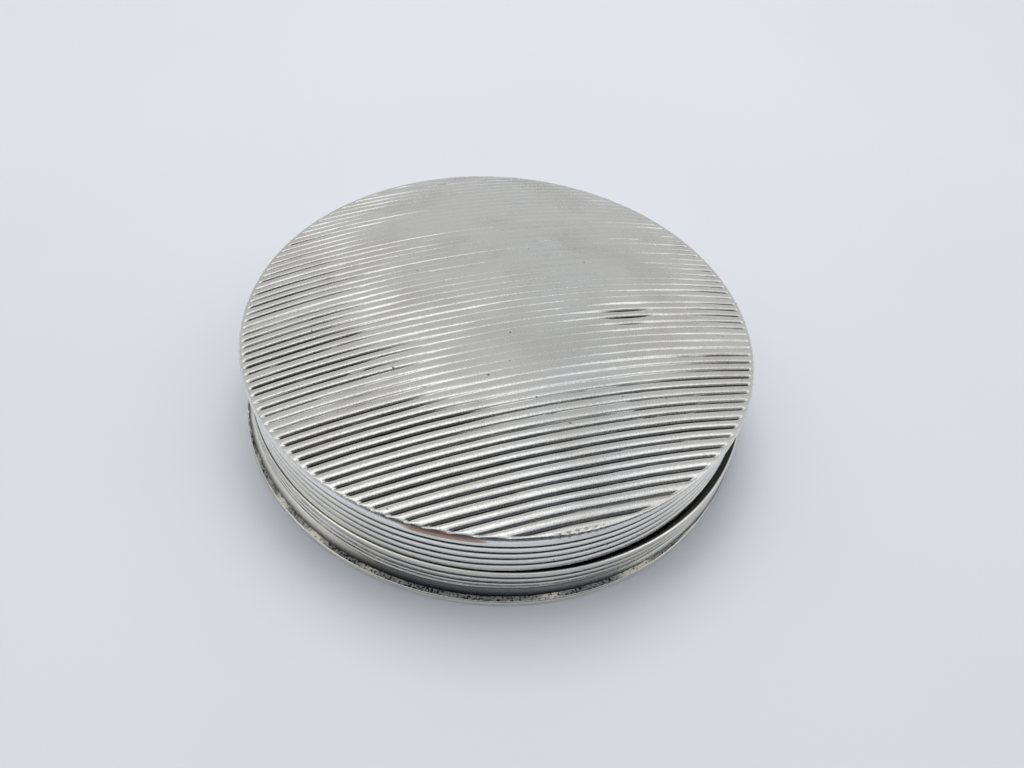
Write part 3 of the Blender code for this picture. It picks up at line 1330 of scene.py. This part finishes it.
@dataclass
class Foot:
    """The base's plate, the bank of solder round the wall's foot, and the plain bezel inside."""

    steps: int = 360
    edge_round: float = 0.15 * MM
    lower_round: float = 0.06 * MM
    plate_shrink: float = 0.15 * MM
    ripple: float = 0.06 * MM
    ripple_turns: float = 2.5
    narrow_way: float = math.radians(105)
    narrowing: float = 0.6 * MM
    narrow_power: int = 4
    narrow_lean: float = 0.3
    solder_steps: int = 1080
    solder_points: int = 10
    solder_width: float = 0.3 * MM
    solder_spill: float = 0.12 * MM
    solder_height: float = 0.14 * MM
    solder_least: float = 0.01 * MM
    lump: float = 0.4 * MM
    lump_height: float = 0.07 * MM
    lump_layers: tuple[float, float, int] = (1.0, 2.0, 3)
    bezel_round: float = 0.14 * MM

    def narrower(self, angle: float) -> float:
        """How much less the foot, which isn't quite round, stands out at an angle."""
        toward = math.cos(angle - self.narrow_way)
        return self.narrowing * toward ** self.narrow_power * (1 - self.narrow_lean * toward)

    def plate(self, material: bpy.types.Material) -> bpy.types.Object:
        """Make the flat plate, with a softened edge that isn't quite true.

        Args:
            material: Its finish.

        Returns:
            The plate.
        """
        _, high = solid_size("base_plate")

        def outline(angle: float) -> Outline:
            """Draw the plate from the middle of its top to the middle of its underside.

            Args:
                angle: Where round the plate.

            Returns:
                The outline.
            """
            place = Vector((math.cos(angle), math.sin(angle), 0))
            wave = 0.5 + 0.5 * noise.noise(place * self.ripple_turns)
            radius = high.x - self.plate_shrink - self.ripple * wave
            radius -= self.narrower(angle)
            corner = (radius - self.edge_round, high.z - self.edge_round)
            upper = rounded(corner, self.edge_round, 1)
            lower = rounded((radius - self.lower_round, self.lower_round), self.lower_round, 0)
            top = [(0.0, high.z), (radius / 2, high.z)]
            return top + upper + lower + [(radius / 2, 0.0), (0.0, 0.0)]

        piece = dress("foot_plate", turned(outline, self.steps, False), material)
        return seat(piece, Body.BASE, Slot.PLAIN, "base_plate")

    def solder(self, material: bpy.types.Material) -> bpy.types.Object:
        """Make the bank of solder, lumpy and uneven.

        Args:
            material: Its finish.

        Returns:
            The bank.
        """
        low, high = solid_size("base_solder_seam")
        bore = high.x - self.solder_width
        outer = high.x + self.solder_spill

        def outline(angle: float) -> Outline:
            """Draw the bank from its inner top edge over its back to the plate.

            Args:
                angle: Where round the bank.

            Returns:
                The outline.
            """
            inset = self.narrower(angle)
            points = []
            for index in range(self.solder_points + 1):
                share = index / self.solder_points
                radius = bore + (outer - bore) * share - inset
                height = low.z + self.solder_height * (1 - share ** 2)
                place = Vector((radius * math.cos(angle), radius * math.sin(angle), height))
                bumps = noise.fractal(place / self.lump, *self.lump_layers) * self.lump_height
                points.append((radius, max(height + bumps, low.z + self.solder_least)))
            return points + [(outer - inset, low.z), (bore - inset, low.z)]

        piece = dress("solder_bank", turned(outline, self.solder_steps, True), material)
        return seat(piece, Body.BASE, Slot.SOLDER, "base_solder_seam")

    def bezel(self, material: bpy.types.Material) -> bpy.types.Object:
        """Make the inner ring that the lid closes over, its top edge rounded by use.

        Args:
            material: Its finish.

        Returns:
            The ring.
        """
        low, high = solid_size("base_bezel")
        inside = min(point.xy.length for point in solid_points("base_bezel"))
        size = self.bezel_round
        outer = rounded((high.x - size, high.z - size), size, 1)
        inner = rounded((inside + size, high.z - size), size, 2)
        ring = inner + outer + [(high.x, low.z), (inside, low.z)]
        piece = dress("inner_bezel", turned(lambda angle: ring, self.steps, True), material)
        return seat(piece, Body.BASE, Slot.PLAIN, "base_bezel")


@dataclass
class Hinge:
    """The barrel at the back: tubes on a pin, between two bars let into the walls."""

    steps: int = 48
    corner: float = 0.10 * MM
    pin_radius: float = 0.3 * MM
    pin_dome: float = 0.12 * MM
    dome_steps: int = 4
    tube_gap: float = 0.05 * MM

    def tube(self, node: str, body: Body, material: bpy.types.Material) -> bpy.types.Object:
        """Make one tube of the barrel, its ends rounded.

        Args:
            node: The solid that it stands for.
            body: Its body.
            material: Its finish.

        Returns:
            The tube.
        """
        points = solid_points(node)
        low = min(point.x for point in points)
        high = max(point.x for point in points)
        radius = max((point - HINGE_POINT).yz.length for point in points)
        bore = self.pin_radius + self.tube_gap
        half = (high - low) / 2
        top = rounded((radius - self.corner, half - self.corner), self.corner, 1)
        end = rounded((radius - self.corner, self.corner - half), self.corner, 0)
        ring = top + end + [(bore, -half), (bore, half)]
        mesh = turned(lambda angle: ring, self.steps, True)
        self.lay(mesh, (low + high) / 2)
        return seat(dress(node.replace("knuckle", "tube"), mesh, material), body, Slot.HINGE, node)

    @staticmethod
    def lay(mesh: bpy.types.Mesh, middle: float) -> None:
        """Lay a turned mesh along the hinge's axis."""
        place = Matrix.Translation(HINGE_POINT + Vector((middle, 0, 0)))
        mesh.transform(place @ Matrix.Rotation(math.pi / 2, 4, "Y"))

    def pin(self, material: bpy.types.Material) -> bpy.types.Object:
        """Make the pin, with domed ends.

        Args:
            material: Its finish.

        Returns:
            The pin.
        """
        low, high = solid_size("hinge_pin")
        straight = (high.x - low.x) / 2 - self.pin_dome
        turns = [math.pi / 2 * step / self.dome_steps for step in range(self.dome_steps + 1)]
        top = [
            (self.pin_radius * math.sin(turn), straight + self.pin_dome * math.cos(turn))
            for turn in turns
        ]
        rod = top + [(radius, -height) for radius, height in reversed(top)]
        mesh = turned(lambda angle: rod, self.steps, False)
        self.lay(mesh, 0.0)
        return seat(dress("hinge_wire", mesh, material), Body.BASE, Slot.HINGE, "hinge_pin")

    def bars(self, material: bpy.types.Material) -> None:
        """Give the two bars, whose solids are true as they are, their finish.

        Args:
            material: The finish.
        """
        for node in ("hinge_bearer_base", "hinge_bearer_lid"):
            item = frame["nodes"][node]
            item.data.materials.clear()
            item.data.materials.append(material)


@dataclass(frozen=True)
class Lamp:
    """A square soft lamp.

    Its azimuth is counted in degrees from the right of the photograph's view, and its power is in
    watts.
    """

    name: str
    azimuth: float
    elevation: float
    distance: float
    size: float
    power: float

    def hang(self, right: float) -> None:
        """Hang the lamp so that it points at the box.

        Args:
            right: The direction of the view's right, as an angle round the box.
        """
        data = bpy.data.lights.new(self.name, "AREA")
        data.size = self.size
        data.energy = self.power
        lamp = bpy.data.objects.new(self.name, data)
        turn, lift = math.radians(self.azimuth) + right, math.radians(self.elevation)
        flat = math.cos(lift)
        way = Vector((flat * math.cos(turn), flat * math.sin(turn), math.sin(lift)))
        lamp.location = way * self.distance
        lamp.rotation_euler = way.to_track_quat("Z", "Y").to_euler()
        lamp.visible_glossy = False
        bpy.context.scene.collection.objects.link(lamp)


@dataclass(frozen=True)
class Room:
    """Light from all round: grey walls, a bright strip of ceiling and one dark side.

    A direction's tilt is its angle from straight up toward the dark side, and its side runs from
    -1 at the photograph's left to 1 at its right. The camera sees the pale backdrop instead, and
    so does silver or glass below the horizon.
    """

    backdrop: Colour = (0.72, 0.75, 0.80)
    wall_light: Colour = (0.52, 0.525, 0.525)
    ceiling_light: Colour = (1.3, 1.3, 1.3)
    ceiling_start: Pair = (-0.34, -0.13)
    ceiling_end: Pair = (0.06, 0.22)
    ceiling_foot: Pair = (0.25, 0.6)
    ceiling_right: Pair = (0.5, 0.9)
    ceiling_right_share: float = 0.5
    ceiling_left: Pair = (-0.8, -0.45)
    ceiling_left_share: float = 0.4
    glimpse: Colour = (0.26, 0.32, 0.38)
    glimpse_place: float = 0.34
    glimpse_width: float = 0.05
    glimpse_share: float = 0.7
    glimpse_end: Pair = (-0.75, -0.5)
    dark_turn: float = math.radians(12)
    dark_start: Pair = (0.40, 0.62)
    dark_sides: Pair = (0.65, 0.95)
    dusk: Colour = (0.035, 0.037, 0.042)
    low_dusk: Colour = (0.12, 0.13, 0.145)
    low_dusk_start: Pair = (0.75, 1.3)
    horizon: Pair = (-0.02, 0.0)

    def light(self, azimuth: float) -> None:
        """Light the scene's world.

        Args:
            azimuth: The angle round the box by which the photograph's view is turned.
        """
        world = bpy.data.worlds.new("room")
        world.use_nodes = True
        bpy.context.scene.world = world
        bench = Bench(world.node_tree)
        path = bench.node("ShaderNodeLightPath")
        east, north, up = bench.parts(bench.node("ShaderNodeTexCoord").outputs["Generated"])
        turn = azimuth + self.dark_turn
        toward = Vector((math.sin(turn), -math.cos(turn)))
        side = north * toward.x - east * toward.y
        tilt = bench.math("ARCTAN2", east * toward.x + north * toward.y, up)

        strip = bench.ramp(tilt, *self.ceiling_start)
        strip = strip * bench.ramp(tilt, *self.ceiling_end, 1.0, 0.0)
        strip = strip * bench.ramp(up, *self.ceiling_foot)
        strip = strip * bench.ramp(side, *self.ceiling_right, 1.0, self.ceiling_right_share)
        strip = strip * bench.ramp(side, *self.ceiling_left, self.ceiling_left_share, 1.0)
        bright = bench.blend(strip, self.wall_light, self.ceiling_light)
        gap = bench.math("ABSOLUTE", side - self.glimpse_place)
        width = self.glimpse_width
        thing = bench.ramp(gap, width, 2 * width, self.glimpse_share, 0.0)
        thing = thing * bench.ramp(tilt, *self.glimpse_end)
        bright = bench.blend(thing, bright, self.glimpse)
        dim = bench.blend(bench.ramp(tilt, *self.low_dusk_start), self.dusk, self.low_dusk)
        shade = bench.ramp(tilt, *self.dark_start)
        aside = bench.math("ABSOLUTE", side)
        shade = shade * bench.ramp(aside, *self.dark_sides, 1.0, 0.0)
        light = bench.blend(shade, bright, dim)

        seen, glossy, through = (
            Quantity(bench, path.outputs[f"Is {kind} Ray"])
            for kind in ("Camera", "Glossy", "Transmission")
        )
        below = bench.math("MAXIMUM", glossy, through) * bench.ramp(up, *self.horizon, 1.0, 0.0)
        seen = bench.math("MAXIMUM", seen, below)
        back = world.node_tree.nodes["Background"]
        bench.feed(back.inputs["Color"], bench.blend(seen, light, self.backdrop))


@dataclass
class Studio:
    """The photograph's camera, a pale floor and soft light."""

    azimuth: float = math.radians(-75)
    elevation: float = 0.8330
    roll: float = 0.1174
    distance: float = 97.8 * MM
    offset: Pair = (1.90 * MM, -0.07 * MM)
    lens: float = 29.88
    sensor: float = 36.0
    nearest: float = 1.0 * MM
    floor_size: float = 2.0
    floor_fade: Pair = (0.13, 0.38)
    floor_colour: Colour = (0.68, 0.704, 0.75)
    floor_paler: float = 1.02
    floor_patch: float = 60.0 * MM
    floor_rough: float = 0.55
    floor_shine: float = 0.3
    room: Room = Room()
    lamps: tuple[Lamp, ...] = (
        Lamp("key", 97, 65, 0.42, 0.25, 0.82),
        Lamp("left_fill", 172, 52, 0.5, 0.4, 0.25),
        Lamp("right_fill", 8, 52, 0.5, 0.4, 0.27),
    )

    def camera(self) -> None:
        """Place the camera where the photograph was taken from."""
        turn = Matrix.Rotation(self.azimuth, 3, "Z")
        cosine, sine = math.cos(self.elevation), math.sin(self.elevation)
        ahead = turn @ Vector((0, cosine, -sine))
        right, up = turn @ Vector((1, 0, 0)), turn @ Vector((0, sine, cosine))
        side = right * math.cos(self.roll) + up * math.sin(self.roll)
        top = up * math.cos(self.roll) - right * math.sin(self.roll)
        place = -ahead * self.distance + side * self.offset[0] + top * self.offset[1]
        data = bpy.data.cameras.new("photo_camera")
        data.lens = self.lens
        data.sensor_width = self.sensor
        data.clip_start = self.nearest
        camera = bpy.data.objects.new("photo_camera", data)
        axes = Matrix((side, top, -ahead)).transposed()
        camera.matrix_world = Matrix.Translation(place) @ axes.to_4x4()
        bpy.context.scene.collection.objects.link(camera)
        bpy.context.scene.camera = camera

    def floor(self) -> None:
        """Lay a plain pale floor, which fades into the backdrop far from the box."""
        paint = Paint("pale_floor")
        tint = paint.ramp(paint.cloud(paint.spot, self.floor_patch), *NOISE_REACH)
        paler = tuple(value * self.floor_paler for value in self.floor_colour)
        paint.coat(paint.blend(tint, self.floor_colour, paler), self.floor_rough, 0.0)
        paint.shader.inputs["Specular IOR Level"].default_value = self.floor_shine
        x, y, _ = paint.parts(paint.spot)
        near = paint.ramp(paint.root(x * x + y * y), *self.floor_fade, 1.0, 0.0)
        paint.feed(paint.shader.inputs["Alpha"], near)
        mesh = bpy.data.meshes.new("floor")
        half = self.floor_size / 2
        corners = [(-half, -half, 0), (half, -half, 0), (half, half, 0), (-half, half, 0)]
        mesh.from_pydata(corners, [], [(0, 1, 2, 3)])
        mesh.materials.append(paint.material)
        floor = bpy.data.objects.new("floor", mesh)
        bpy.context.scene.collection.objects.link(floor)

    def build(self) -> None:
        """Set up the whole studio."""
        self.camera()
        self.floor()
        self.room.light(self.azimuth)
        for lamp in self.lamps:
            lamp.hang(self.azimuth)
        bpy.context.scene.view_settings.view_transform = "Standard"


def main() -> None:
    """Build every piece in order and report each."""
    logging.basicConfig(level=logging.INFO, format="%(message)s")
    Studio().build()
    top_silver = ReededSilver("dome_silver", turn=-LidTop.reed_angle).make()
    # The walls' silver paints tarnish in the grooves and painted shade where the wall meshes mark
    # it.
    wall_silver = ReededSilver(
        "wall_silver", bright=(0.95, 0.935, 0.89), mellow=(0.90, 0.88, 0.83),
        dark=(0.045, 0.044, 0.044), stain_and_shade_start=0.36, stain_and_shade_dull=0.06, crumble=0.12,
        smooth=0.13, dull=0.24, grain=0.3 * MM, grain_height=0.012 * MM,
    ).make()
    plain_silver = PlainSilver().make()
    solder = OldSolder().make()
    hinge_silver = HingeSilver().make()

    foot, hinge = Foot(), Hinge()
    pieces = [
        LidTop().build(top_silver),
        LidWall().build(wall_silver),
        BaseWall().build(wall_silver),
        foot.plate(plain_silver),
        foot.solder(solder),
        foot.bezel(plain_silver),
        hinge.tube("hinge_knuckle_left", Body.BASE, hinge_silver),
        hinge.tube("hinge_knuckle_middle", Body.LID, hinge_silver),
        hinge.tube("hinge_knuckle_right", Body.BASE, hinge_silver),
        hinge.pin(hinge_silver),
    ]
    hinge.bars(hinge_silver)
    for piece in pieces:
        log.info("%s: %d faces", piece.name, len(piece.data.polygons))


if __name__ == "__main__":
    main()
